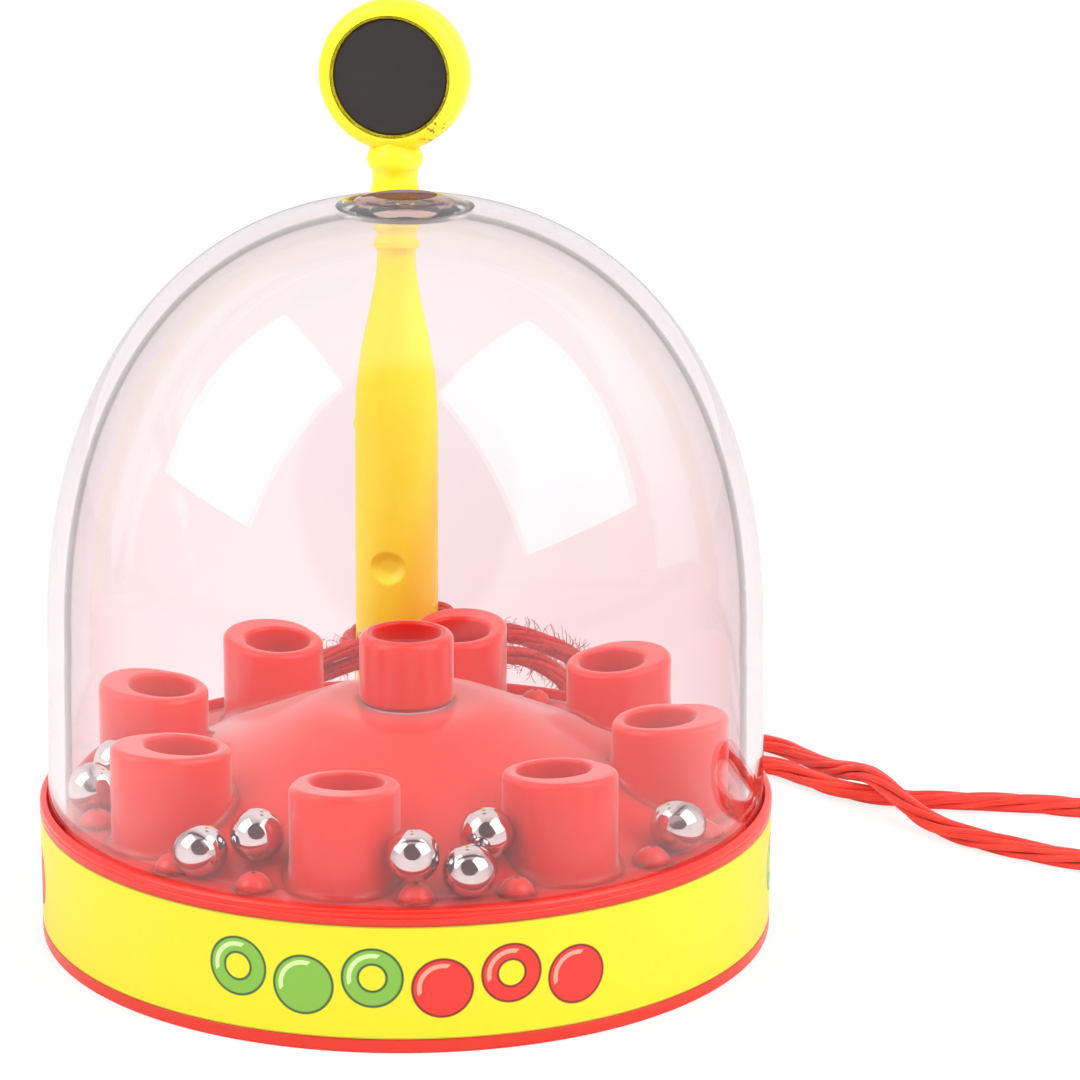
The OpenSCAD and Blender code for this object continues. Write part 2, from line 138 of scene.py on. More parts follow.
def strands(path, upright, spread=1.0, thin=1.0, turns=None):
    """
    The plies of a cord: each winds slowly round the path, at its own uneven distance from it. Its angle
    is its share of a circle, the twist so far and a small wave, and its distance has a small wave too.
    """
    wave_turn, wave_reach = 0.22, 0.1
    gone = np.concatenate([[0], np.cumsum(np.linalg.norm(np.diff(path, axis=0), axis=1))])
    turns = gone[-1] / ply_turn if turns is None else turns
    side, above = frames(path, upright)
    out = []
    for k in range(plies):
        angle = 2 * pi * (k / plies + turns * gone / gone[-1])
        angle = angle + wave_turn * np.sin(gone / 5.3 + 2.4 * k)
        reach = (cord_d / 2 - ply_r) * spread * (1 + wave_reach * np.sin(gone / 7.1 + 1.7 * k))
        line = path + (side * np.cos(angle)[:, None] + above * np.sin(angle)[:, None]) * (
            np.broadcast_to(reach, len(path))[:, None])
        out.append((closed_ends(tube(line, ply_r * thin, upright)), False, True))
    return out


chance = np.random.default_rng(11)
fibre_r, fibre_steps, fibre_curl = 0.06, 9, 0.45


def fuzz(path, count, longest, node):
    """
    Loose fibres: each leaves the cord's skin at a random point and curls about inside the node's box.
    A fibre's way is its first heading plus the sum of its small random turns, and its line is the sum
    of its way.
    """
    low, high = (np.array(corner) * 1000 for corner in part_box(node))
    side, above = frames(path, (0, 0, 1))
    root, bearing = chance.integers(1, len(path) - 1, count), chance.uniform(0, 2 * pi, count)[:, None]
    length = chance.uniform(0.4, 1.0, count)[:, None, None] * longest
    heading = side[root] * np.cos(bearing) + above[root] * np.sin(bearing)
    way = heading[:, None] + fibre_curl * chance.normal(size=(count, fibre_steps, 3)).cumsum(1)
    way /= np.linalg.norm(way, axis=2, keepdims=True)
    start = (path[root] + heading * (cord_d / 2 - ply_r))[:, None]
    lines = np.concatenate([start, start + way.cumsum(1) * length / fibre_steps], 1)
    lines = np.clip(lines, low + fibre_r, high - fibre_r)
    return [(closed_ends(tube(line, fibre_r, curl, 3)), False, True)
            for line, curl in zip(lines, chance.normal(size=(count, 3)))]


def skin(name, patches, body, slot, *replaced):
    """
    One smooth mesh from patches, each a grid of points with whether its rows and its columns close.
    The cells of a grid become quads, equal points are merged, and the faces are turned outwards.
    The UV of a corner is its row and its column, each as a share of the grid.
    """
    points, faces, uvs, start = [], [], [], 0
    for grid, rows_close, columns_close in patches:
        rows, columns = grid.shape[:2]
        i, j = np.meshgrid(np.arange(rows - (not rows_close)), np.arange(columns - (not columns_close)),
                           indexing="ij")
        i, j = i.ravel()[:, None] + [0, 1, 1, 0], j.ravel()[:, None] + [0, 0, 1, 1]
        faces.append(start + i % rows * columns + j % columns)
        uvs.append(np.stack([i / rows, j / columns], -1).reshape(-1, 2))
        points.append(grid.reshape(-1, 3))
        start += rows * columns
    mesh = bpy.data.meshes.new(name)
    mesh.from_pydata(np.vstack(points) / 1000, [], np.vstack(faces).tolist())
    mesh.uv_layers.new(name="grid").data.foreach_set("uv", np.vstack(uvs).ravel())
    cells = bmesh.new()
    cells.from_mesh(mesh)
    bmesh.ops.remove_doubles(cells, verts=cells.verts, dist=1e-6)
    bmesh.ops.recalc_face_normals(cells, faces=cells.faces)
    cells.to_mesh(mesh)
    cells.free()
    mesh.shade_smooth()
    piece = bpy.data.objects.new(name, mesh)
    bpy.context.collection.objects.link(piece)
    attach(piece, body)
    if replaced:
        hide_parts(*replaced)
    return piece


def linear(code):
    """The linear colour of an sRGB hex code."""
    srgb = np.array([int(code[k:k + 2], 16) for k in (1, 3, 5)]) / 255
    value = np.where(srgb <= 0.04045, srgb / 12.92, ((srgb + 0.055) / 1.055) ** 2.4)
    return (*value.tolist(), 1.0)


def wire(tree, node, inputs):
    """Gives each socket of a node its value, the output that feeds it, or the node whose output does."""
    for key, value in inputs.items():
        if isinstance(value, bpy.types.Node):
            value = next(output for output in value.outputs if not output.is_unavailable)
        if isinstance(value, bpy.types.NodeSocket):
            tree.links.new(value, node.inputs[key])
        else:
            node.inputs[key].default_value = value


def add(tree, kind, inputs=None, **settings):
    """Adds a node with its own settings and wires its inputs. A colour mix has its colours at 6 and 7."""
    node = tree.nodes.new(kind)
    for key, value in settings.items():
        setattr(node, key, value)
    wire(tree, node, inputs or {})
    return node


def grade(ramp, *stops):
    """Gives a colour ramp its stops in rising order, each a place from 0 to 1 and a hex code."""
    for n, (at, code) in enumerate(stops):
        stop = ramp.color_ramp.elements[n] if n < 2 else ramp.color_ramp.elements.new(at)
        stop.position, stop.color = at, linear(code)


def material(name, **values):
    """A material with a Principled shader that has the values: returns it, its tree and the shader."""
    made = bpy.data.materials.new(name)
    made.use_nodes = True
    shader = made.node_tree.nodes["Principled BSDF"]
    for key, value in values.items():
        shader.inputs[key.replace("_", " ")].default_value = value
    return made, made.node_tree, shader


# Rayon: bright filaments with a silky shine along the ply, dark in the gaps between the plies. They are
# drawn coarser than real, to show: 22 round a ply, in 90 lengths along a piece.
rayon, tree, shader = material("rayon_twine", Sheen_Weight=0.25, Sheen_Roughness=0.4, IOR=1.5)
filament, felt_patch = 0.25, 5.5
streaks_along, filaments_round = 90, 22
grid = add(tree, "ShaderNodeUVMap", uv_map="grid")
along = add(tree, "ShaderNodeMapping", {"Vector": grid, "Scale": (streaks_along, filaments_round, 1)})
hair = add(tree, "ShaderNodeTexNoise", {"Vector": along, "Scale": 1.0, "Detail": 3.0})
place = add(tree, "ShaderNodeTexCoord").outputs["Object"]
patchy = add(tree, "ShaderNodeTexNoise", {"Vector": place, "Scale": 1000 / felt_patch, "Detail": 2.0})
tone = add(tree, "ShaderNodeMath", {0: hair, 1: patchy}, operation="ADD")
tone = add(tree, "ShaderNodeMath", {0: tone, 1: 0.5}, operation="MULTIPLY")
ply = add(tree, "ShaderNodeValToRGB", {"Fac": tone})
grade(ply, (0.34, "#E01E0C"), (0.66, "#FC422E"))
# Near the wand the cord's colour is drawn towards a dark mauve red: painted shade
shade_from, shade_deepest_at = 45.0, 30.0
painted_shade_share = add(tree, "ShaderNodeMapRange", {
    "Value": add(tree, "ShaderNodeSeparateXYZ", {"Vector": place}).outputs["X"],
    "From Min": shade_from / 1000, "From Max": shade_deepest_at / 1000, "To Max": 0.5})
cord_with_painted_shade = add(tree, "ShaderNodeMix", {"Factor": painted_shade_share, 6: ply, 7: linear("#C01C2E")}, data_type="RGBA")
rough = add(tree, "ShaderNodeMapRange", {"Value": hair, "To Min": 0.38, "To Max": 0.6})
bump = add(tree, "ShaderNodeBump", {"Height": hair, "Strength": 0.6, "Distance": filament / 1000})
wire(tree, shader, {"Base Color": cord_with_painted_shade, "Roughness": rough, "Normal": bump})

loop_path = smooth_path(LOOP, 0.8)
loop = skin("cord", strands(loop_path, (0, 0, 1)), "wand", "red_cord", "cord_loop")
loop.data.materials.append(rayon)
worn_to, fibre_l = 38.0, 4.0
worn = loop_path[loop_path[:, 0] < worn_to]
fibres = skin("loose_fibres", fuzz(worn, 700, fibre_l, "cord_loop"), "wand", "red_cord")
fibres.data.materials.append(rayon)

winds = 2.6
wind_r = knot_r - cord_d / 2
t = np.linspace(0, 1, 90)
wound = np.column_stack([
    knot_x + (knot_l - cord_d) * (t - 0.5),
    knot_y - wind_r * np.cos(2 * pi * winds * t),
    knot_z + wind_r * np.sin(2 * pi * winds * t)])
# The turn round the grip hangs lower on its left
tie_tilt, tie_gap, tie_turns = radians(16), 0.1, 2
tie_r = (grip_r + tie_gap + cord_d / 2) / cos(tie_tilt)
t = np.linspace(0, 2 * pi, 120, endpoint=False)
tie_path = np.column_stack([wand_x + tie_r * cos(tie_tilt) * np.cos(t), wand_y + tie_r * np.sin(t),
                            knot_z + tie_r * sin(tie_tilt) * np.cos(t)])


def ring_strands(path, centre, turns):
    """
    The plies of a cord laid in a closed, tilted ring about the centre. Each winds round the path with
    whole turns of twist, in the plane of the way outwards and the ring's own axis.
    """
    out = []
    angle = np.linspace(0, 2 * pi, len(path), endpoint=False)
    outward = (path - centre) / np.linalg.norm(path - centre, axis=1)[:, None]
    above = np.array([-sin(tie_tilt), 0.0, cos(tie_tilt)])
    sides = np.linspace(0, 2 * pi, 9, endpoint=False)
    for k in range(plies):
        around = 2 * pi * k / plies + turns * angle
        line = path + (cord_d / 2 - ply_r) * (outward * np.cos(around)[:, None]
                                              + above * np.sin(around)[:, None])
        ring = (outward[:, None] * np.cos(sides)[None, :, None] + above * np.sin(sides)[None, :, None])
        out.append((line[:, None] + ply_r * ring, True, True))
    return out


knot = skin("knot", strands(wound, (1, 0, 0), turns=1)
            + ring_strands(tie_path, np.array([wand_x, wand_y, knot_z]), tie_turns),
            "wand", "red_cord", "cord_knot")
knot.data.materials.append(rayon)

tail_patches = []
for points in TAILS:
    path = smooth_path(points, 0.6)
    t = np.linspace(0, 1, len(path))
    tail_patches += strands(path, (0, 0, 1), spread=0.75 + 0.2 * t ** 3, thin=0.85 - 0.35 * t ** 2)
    tail_patches += fuzz(path, 90, fibre_l, "cord_tails")
tails = skin("tails", tail_patches, "wand", "red_cord", "cord_tails")
tails.data.materials.append(rayon)

# The base
# One red injection moulding, a shallow pan with a thin rim. Its skirt carries the label, and the
# dome's foot is pushed down inside the rim.
base_r, base_h, lip_h, label_h, pocket = 57.5, 22.0, 2.2, 17.4, 0.35
rim_t, skirt_t, floor_t, ledge_z = 1.1, 2.2, 2.2, 17.4
foot_in, foot_out, foot_h, groove_z, groove_h, groove_t = 12.0, 50.0, 0.6, 20.9, 0.15, 0.12


def rounded(corners, steps=6):
    """
    A profile through corners (x, z, radius): each radius becomes an arc that touches both its lines. Its
    middle lies on the corner's bisector, and a point just past each of its ends keeps the shading crisp.
    """
    c = np.array([k[:2] for k in corners], float)
    out = []
    for k, (_, _, radius) in enumerate(corners):
        if not radius:
            out.append(c[k])
            continue
        u, v = c[k - 1] - c[k], c[(k + 1) % len(c)] - c[k]
        u, v = u / np.linalg.norm(u), v / np.linalg.norm(v)
        half = np.arccos(np.clip(u @ v, -1, 1)) / 2
        middle = c[k] + (u + v) / np.linalg.norm(u + v) * radius / sin(half)
        reach = radius / np.tan(half)
        chord = np.linspace(c[k] + u * reach, c[k] + v * reach, steps) - middle
        arc = middle + radius * chord / np.linalg.norm(chord, axis=1)[:, None]
        near = 0.12 * radius
        out += [arc[0] + u * near, *arc, arc[-1] + v * near]
    return np.array(out)


def turned(profile, sides=192):
    """The profile (radius, height) turned round the Z axis: one row of the grid for each angle."""
    angle = np.linspace(0, 2 * pi, sides, endpoint=False)[:, None]
    return np.stack([profile[:, 0] * np.sin(angle), -profile[:, 0] * np.cos(angle),
                     profile[:, 1] + 0 * angle], -1)


base_profile = rounded([
    (0, 0, 0), (foot_in, 0, 0.2), (foot_in, foot_h, 0.2), (foot_out, foot_h, 0.2), (foot_out, 0, 0.2),
    (base_r, 0, 0.5),
    (base_r, lip_h, 0.15), (base_r - pocket, lip_h, 0.05), (base_r - pocket, lip_h + label_h, 0.05),
    (base_r, lip_h + label_h, 0.15), (base_r, groove_z - groove_h, 0.1), (base_r - groove_t, groove_z, 0.1),
    (base_r, groove_z + groove_h, 0.1), (base_r, base_h, 0.6), (base_r - rim_t, base_h, 0.2),
    (base_r - rim_t, ledge_z, 0.2), (base_r - skirt_t, ledge_z, 0.2), (base_r - skirt_t, floor_t, 0.5),
    (0, floor_t, 0)])
base = skin("base", [(turned(base_profile), True, False)], "game", "red_plastic", "base_tray")


def moulded_red(name, bloom):
    """Polypropylene, moulded: an even, slightly waxy red that lets a little light in, with a pale bloom."""
    plastic, tree, shader = material(
        name, IOR=1.49, Subsurface_Weight=0.6, Subsurface_Scale=0.005, Subsurface_Radius=(1.0, 0.25, 0.2),
        Sheen_Weight=bloom, Sheen_Roughness=0.35)
    place = add(tree, "ShaderNodeTexCoord").outputs["Object"]
    flow_width, skin_grain, grain_depth = 14.0, 0.5, 0.06
    flow = add(tree, "ShaderNodeTexNoise", {"Vector": place, "Scale": 1000 / flow_width, "Detail": 2.0})
    grain = add(tree, "ShaderNodeTexNoise", {"Vector": place, "Scale": 1000 / skin_grain, "Detail": 2.0})
    tone = add(tree, "ShaderNodeMix", {"Factor": flow, 6: linear("#E02819"), 7: linear("#E83527")},
               data_type="RGBA")
    rough = add(tree, "ShaderNodeMapRange", {"Value": flow, "To Min": 0.16, "To Max": 0.26})
    bump = add(tree, "ShaderNodeBump", {"Height": grain, "Strength": 0.15, "Distance": grain_depth / 1000})
    wire(tree, shader, {"Base Color": tone, "Roughness": rough, "Normal": bump})
    return plastic


base.data.materials.append(moulded_red("moulded_red_polypropylene", 0.0))

# The label
# A strip of yellow self-adhesive paper in the skirt's pocket, varnished over the print. It is printed
# again every 107 degrees with a row of green and red balls and rings, and its ends meet at the back.
label_t, label_gap, label_play, seam = 0.25, 0.04, 0.05, 0.6
label_low, label_high = lip_h + label_play, lip_h + label_h - label_play
label_in = base_r - pocket + label_gap
turn = np.linspace(pi + 0.5 * seam / base_r, 3 * pi - 0.5 * seam / base_r, 241)[:, None]
section = rounded([(label_in, label_low, 0), (label_in + label_t, label_low, 0.08),
                   (label_in + label_t, label_high, 0.08), (label_in, label_high, 0)])
strip = np.stack([section[:, 0] * np.sin(turn), -section[:, 0] * np.cos(turn),
                  section[:, 1] + 0 * turn], -1)
label = skin("label", [(closed_ends(strip), False, True)], "game", "label_paper", "label_band")

paper, tree, shader = material("varnished_yellow_paper", IOR=1.5, Coat_Weight=0.15, Coat_Roughness=0.2,
                               Roughness=0.42)
place = add(tree, "ShaderNodeTexCoord").outputs["Object"]
axes = add(tree, "ShaderNodeSeparateXYZ", {"Vector": place})

# The arc from the nearest repeat's middle and the height over the label's middle, both in millimetres
repeat, mid_h = radians(107), lip_h + 0.5 * label_h
behind = add(tree, "ShaderNodeMath", {0: axes.outputs["Y"], 1: -1.0}, operation="MULTIPLY")
angle = add(tree, "ShaderNodeMath", {0: axes.outputs["X"], 1: behind}, operation="ARCTAN2")
angle = add(tree, "ShaderNodeMath", {0: angle, 1: repeat / 2, 2: -repeat / 2}, operation="WRAP")
across = add(tree, "ShaderNodeMath", {0: angle, 1: base_r}, operation="MULTIPLY")
height = add(tree, "ShaderNodeMath", {0: axes.outputs["Z"], 1: 1000.0, 2: -mid_h},
             operation="MULTIPLY_ADD")
# The nearest motif's middle: every other one is lifted
motif_step, motif_r, motif_count, motif_lift, hole_r, no_hole = 10.2, 4.6, 6, 1.6, 1.9, -5.0
cell = add(tree, "ShaderNodeMath", {0: across, 1: motif_step}, operation="DIVIDE")
cell = add(tree, "ShaderNodeMath", {0: cell}, operation="FLOOR")
middle = add(tree, "ShaderNodeMath", {0: cell, 1: 0.5}, operation="ADD")
middle = add(tree, "ShaderNodeMath", {0: middle, 1: motif_step}, operation="MULTIPLY")
odd = add(tree, "ShaderNodeMath", {0: cell, 1: 1.0}, operation="PINGPONG")
lift = add(tree, "ShaderNodeMath", {0: odd, 1: 0.5}, operation="SUBTRACT")
lift = add(tree, "ShaderNodeMath", {0: lift, 1: motif_lift}, operation="MULTIPLY")
dx = add(tree, "ShaderNodeMath", {0: across, 1: middle}, operation="SUBTRACT")
dy = add(tree, "ShaderNodeMath", {0: height, 1: lift}, operation="SUBTRACT")
reach = add(tree, "ShaderNodeVectorMath", {
    0: add(tree, "ShaderNodeCombineXYZ", {"X": dx, "Y": dy})}, operation="LENGTH").outputs["Value"]
off_row = add(tree, "ShaderNodeMath", {0: across}, operation="ABSOLUTE")
off_row = add(tree, "ShaderNodeMath", {0: off_row, 1: motif_step * motif_count / 2},
              operation="GREATER_THAN")
# How far a point lies inside a motif: the balls are discs, and every other motif is a ring with a hole
hole = add(tree, "ShaderNodeMath", {0: odd, 1: hole_r - no_hole, 2: no_hole}, operation="MULTIPLY_ADD")
inside = add(tree, "ShaderNodeMath", {
    0: add(tree, "ShaderNodeMath", {0: motif_r, 1: reach}, operation="SUBTRACT"),
    1: add(tree, "ShaderNodeMath", {0: reach, 1: hole}, operation="SUBTRACT")}, operation="MINIMUM")
inside = add(tree, "ShaderNodeMath", {0: off_row, 1: -10.0, 2: inside}, operation="MULTIPLY_ADD")
ink_blur, outline_t = 0.09, 0.38


def over(below, colour, edge):
    """Lays a printed colour over the one below wherever the motif is deeper than the edge."""
    mask = add(tree, "ShaderNodeMapRange", {"Value": inside, "From Min": edge - ink_blur,
                                            "From Max": edge + ink_blur})
    return add(tree, "ShaderNodeMix", {"Factor": mask, 6: below, 7: colour}, data_type="RGBA")


def either(first, second):
    """The first printed colour left of the row's middle and the second right of it."""
    right_half = add(tree, "ShaderNodeMath", {0: across, 1: 0.0}, operation="GREATER_THAN")
    return add(tree, "ShaderNodeMix", {"Factor": right_half, 6: linear(first), 7: linear(second)},
               data_type="RGBA")


paper_fibre, fibre_depth = 1.1, 0.04
fibre = add(tree, "ShaderNodeTexNoise", {"Vector": place, "Scale": 1000 / paper_fibre, "Detail": 3.0})
ink = add(tree, "ShaderNodeMix", {"Factor": fibre, 6: linear("#E8D602"), 7: linear("#ECDC08")},
          data_type="RGBA")
ink = over(ink, either("#2F5A2A", "#7D1410"), 0.0)
ink = over(ink, either("#7DB43C", "#E8271B"), outline_t)
# A pale arc of light near each motif's upper left edge
arc_in, arc_t, arc_from = 1.2, 0.34, 2.4
arc = add(tree, "ShaderNodeMath", {0: reach, 1: motif_r - arc_in}, operation="SUBTRACT")
arc = add(tree, "ShaderNodeMath", {0: arc}, operation="ABSOLUTE")
arc = add(tree, "ShaderNodeMath", {0: arc, 1: arc_t}, operation="LESS_THAN")
upper_left = add(tree, "ShaderNodeMath", {0: dy, 1: dx}, operation="SUBTRACT")
upper_left = add(tree, "ShaderNodeMath", {0: upper_left, 1: arc_from}, operation="GREATER_THAN")
arc = add(tree, "ShaderNodeMath", {0: arc, 1: upper_left}, operation="MULTIPLY")
printed = add(tree, "ShaderNodeMath", {0: inside, 1: outline_t}, operation="GREATER_THAN")
arc = add(tree, "ShaderNodeMath", {0: arc, 1: printed}, operation="MULTIPLY")
ink = add(tree, "ShaderNodeMix", {"Factor": arc, 6: ink, 7: either("#CBE59A", "#FF9A86")},
          data_type="RGBA")
# A fine dark line is printed along both edges
line_t, line_strength = 0.28, 0.55
edge = add(tree, "ShaderNodeMath", {0: height}, operation="ABSOLUTE")
edge = add(tree, "ShaderNodeMath", {0: edge, 1: label_h / 2 - line_t}, operation="GREATER_THAN")
edge = add(tree, "ShaderNodeMath", {0: edge, 1: line_strength}, operation="MULTIPLY")
ink = add(tree, "ShaderNodeMix", {"Factor": edge, 6: ink, 7: linear("#8A6A12")}, data_type="RGBA")
bump = add(tree, "ShaderNodeBump", {"Height": fibre, "Strength": 0.12, "Distance": fibre_depth / 1000})
wire(tree, shader, {"Base Color": ink, "Normal": bump})
label.data.materials.append(paper)

# The deck
# One red moulding that lies on the base's ledge. A flat crown slopes down to a gutter, eight cups
# stand in a ring with a thick heel on their outer side, and low bumps in the gutter stop the balls.
crown_z, crown_r, gutter_z, gutter_r, deck_r = 36.0, 14.0, 21.0, 48.0, 53.4
flange_t, deck_t, seat_r, brim_step = 1.8, 2.0, 56.2, 0.4
cup_count, cup_phase, cup_bore_r, cup_r, ring_r = 8, radians(-12.5), 5.5, 7.8, 40.0
cup_thin, cup_heel, cup_top, lip_round, foot_round = 0.4, 2.8, 36.0, 1.0, 1.3
mid_r, column_r, mid_foot, mid_top, mid_floor, cup_floor = 7.4, 6.6, 36.6, 47.0, 34.0, 21.4
column_foot, bump_foot, mouth_round = 1.2, 0.7, 0.5

deck_top = rounded([(0, crown_z, 0), (crown_r, crown_z, 15), (gutter_r, gutter_z, 3),
                    (deck_r, gutter_z, 0)], 24)
# The grid is closer where the cups stand
deck_sides, cups_from, cups_to = 384, 31.0, 49.2
fine = np.unique(np.concatenate([np.linspace(0, deck_r, 46), np.linspace(cups_from, cups_to, 40)]))
slope_z = np.interp(fine, deck_top[:, 0], deck_top[:, 1])
angle = np.linspace(0, 2 * pi, deck_sides, endpoint=False)[:, None]
plan = np.stack([fine * np.sin(angle), -fine * np.cos(angle)], -1)


def sunk(plan, heights, centre, floor):
    """
    Heights drop to the floor inside a bore. The share that stays rises from nothing to all of it over a
    short step, which is hidden in the cup's wall.
    """
    step_from, step_w = 0.3, 0.8
    away = np.linalg.norm(plan - centre, axis=-1)
    share = np.clip((away - cup_bore_r - step_from) / step_w, 0, 1)
    return floor + (heights - floor) * share


cup_angles = cup_phase + np.arange(cup_count) * 2 * pi / cup_count
top = np.broadcast_to(slope_z, plan.shape[:2])
for a in cup_angles:
    top = sunk(plan, top, (ring_r * sin(a), -ring_r * cos(a)), cup_floor)
top = sunk(plan, top, (0, 0), mid_floor)
upper = np.concatenate([plan, top[..., None]], -1)
flange_z = gutter_z - flange_t
brim = turned(np.array([(deck_r, flange_z), (seat_r, flange_z), (seat_r, flange_z - flange_t),
                        (deck_r - brim_step, flange_z - flange_t)]), deck_sides)
lower = (upper - [0, 0, deck_t])[:, -4::-2]
lower[:, -1, :2] = 0
deck_patches = [(np.concatenate([upper, brim, lower], 1), True, False)]

# A cup's outline is a stadium: its angle from the cup's outward line, and its centre's shift along it
half = np.linspace(-pi / 2, pi / 2, 40)
run = np.linspace(cup_heel, cup_thin, 6)[1:-1]
theta = np.concatenate([half, 0 * run + pi / 2, half + pi, 0 * run - pi / 2])
shift = np.concatenate([0 * half + cup_heel, run, 0 * half + cup_thin, run[::-1]])


def outline(radius):
    """The stadium of the radius in the cup's own plan, whose X axis points out from the deck's middle."""
    return np.stack([ring_r + shift + radius * np.cos(theta), radius * np.sin(theta)], -1)


def deck_height(flat):
    """The height of the deck's slope at each point, read off its profile by the distance from the axis."""
    return np.interp(np.linalg.norm(flat, axis=-1), deck_top[:, 0], deck_top[:, 1])


def level_ring(flat, z):
    """The points of a plan at the height z, or each at its own height."""
    return np.concatenate([flat, np.broadcast_to(z, len(flat))[:, None]], -1)


# A ring for each step up the cup: a hollow foot, the wall, a round lip, the flat top and the bore
rooted = 0.35
rings = []
for t in np.linspace(0, pi / 2, 7):
    flat = outline(cup_r + foot_round * (1 - sin(t)))
    rings.append(level_ring(flat, deck_height(flat) + foot_round * (1 - cos(t))))
rings[0][:, 2] -= rooted
for z in np.linspace(0.15, 1, 5):
    flat = outline(cup_r)
    low = deck_height(flat) + foot_round
    rings.append(level_ring(flat, low + (cup_top - lip_round - low) * z))
for t in np.linspace(0, pi / 2, 7):
    rings.append(level_ring(outline(cup_r - lip_round * (1 - cos(t))), cup_top - lip_round * (1 - sin(t))))
shore = outline(cup_r - lip_round) - [ring_r, 0]
bearing = np.arctan2(shore[:, 1], shore[:, 0])


def bore_ring(radius, z):
    """A round ring about the bore, with its points on the same bearings as the stadium's."""
    return level_ring(np.stack([ring_r + radius * np.cos(bearing), radius * np.sin(bearing)], -1), z)


mouth = bore_ring(cup_bore_r + mouth_round, cup_top)
rings += [0.9 * rings[-1] + 0.1 * mouth, 0.1 * rings[-1] + 0.9 * mouth]
for t in np.linspace(0, pi / 2, 6):
    rings.append(bore_ring(cup_bore_r + mouth_round * (1 - sin(t)), cup_top - mouth_round * (1 - cos(t))))
drop, flare = 0.3, 0.6
rings += [bore_ring(cup_bore_r, cup_top - 1.0), bore_ring(cup_bore_r, cup_floor - 0.1),
          bore_ring(cup_bore_r + flare, cup_floor - drop)]
cup = np.stack(rings, 1)
# The tops slope a little towards the middle of the deck
cup_slope, slope_from = 0.09, 31.0
cup[..., 2] += cup_slope * (cup[..., 0] - ring_r - shift.mean()) * np.clip(
    (cup[..., 2] - slope_from) / (cup_top - slope_from), 0, 1)


def swung(grid, angle):
    """The grid turned about the axis so that its own X axis points out at the angle round the deck."""
    x, y = grid[..., 0], grid[..., 1]
    return np.stack([x * sin(angle) + y * cos(angle), y * sin(angle) - x * cos(angle), grid[..., 2]], -1)


deck_patches += [(swung(cup, a), True, False) for a in cup_angles]
middle_cup = rounded([
    (column_r + column_foot, crown_z - 0.1, 0), (column_r, crown_z, 0.35), (column_r, mid_foot, 0.1),
    (mid_r, mid_foot, 0.2), (mid_r, mid_top, 1.3), (cup_bore_r, mid_top, mouth_round),
    (cup_bore_r, mid_floor - 0.1, 0), (cup_bore_r + flare, mid_floor - drop, 0)], 8)
deck_patches.append((turned(middle_cup, 128), True, False))
bump_r, bump_ring_r, bump_angle = 2.6, 49.5, radians(14)
bump_profile = rounded([(bump_r + bump_foot, -0.1, 0), (bump_r, 0, 0.5), (bump_r, bump_r, bump_r - 0.02),
                        (0, bump_r, 0)], 11)
for a in cup_angles:
    for side in (-bump_angle, bump_angle):
        seat = [bump_ring_r * sin(a + side), -bump_ring_r * cos(a + side), gutter_z]
        deck_patches.append((turned(bump_profile, 40) + seat, True, False))
deck = skin("deck", deck_patches, "game", "red_plastic", "play_deck")
deck.data.materials.append(moulded_red("bloomed_red_polypropylene", 0.7))

# The dome
# Clear polystyrene, moulded 2.6 mm thick. A flat button marks the gate on top, and a thicker lens
# lies under it. Its foot stands on the deck's flange inside the base's rim.
dome_r, dome_t, foot_z, spring_z, dome_top = 56.2, 2.6, 19.2, 45.5, 115.4
spring_r, crown_power = 55.7, 2.24
button_r, button_h, lens_r, lens_h, bulge, fine_margin = 7.2, 0.4, 9.5, 0.7, 0.5, 2.0


def crown(radius, top):
    """Half a superellipse from the springing to the axis: cos and sin of the angle, each to 2 / power."""
    s = np.linspace(0, pi / 2, 110)
    return np.stack([radius * np.cos(s) ** (2 / crown_power),
                     spring_z + (top - spring_z) * np.sin(s) ** (2 / crown_power)], -1)


outside = crown(spring_r, dome_top)
inside_wall = crown(spring_r - dome_t, dome_top - dome_t)[::-1]


def boss(wall, radius, height, sign):
    """
    The wall with a round boss on its axis: half a cosine wave steps up to the height across the step's
    width about the radius, and a parabola swells inside it.
    """
    r, step_w = wall[:, 0], 1.0
    step = 0.5 - 0.5 * np.cos(pi * np.clip((radius + step_w / 2 - r) / step_w, 0, 1))
    swell = bulge * np.clip(1 - (r / (radius - step_w / 2)) ** 2, 0, 1)
    return np.stack([r, wall[:, 1] + sign * (height * step + swell)], -1)


def resampled(wall, limit):
    """The same wall with many points where it is nearer the axis than the limit."""
    near = np.linspace(limit, 0, 48)
    order = np.argsort(wall[:, 0])
    heights = np.interp(near, wall[order, 0], wall[order, 1])
    return np.vstack([wall[wall[:, 0] > limit], np.stack([near, heights], -1)])


outside = boss(resampled(outside, button_r + fine_margin), button_r, button_h - 0.1, 1.0)
outside[:, 1] = np.minimum(outside[:, 1], dome_top + button_h)
inside_wall = boss(resampled(inside_wall[::-1], lens_r + fine_margin), lens_r, lens_h, -1.0)[::-1]
foot = rounded([(dome_r - dome_t, foot_z + 1, 0), (dome_r - dome_t, foot_z, 0.3), (dome_r, foot_z, 0.3),
                (dome_r, foot_z + 1, 0)])
dome_profile = np.vstack([inside_wall[:-1], foot, outside])
dome_profile[0, 0] = dome_profile[-1, 0] = 0
dome = skin("dome_shell", [(turned(dome_profile, 300), True, False)], "game", "clear_plastic", "dome")

# Polystyrene: clear with a faint rose tint. Light goes straight through it, so its shadow is pale.
clear, tree, shader = material("clear_polystyrene", IOR=1.5, Transmission_Weight=1.0, Roughness=0.0)
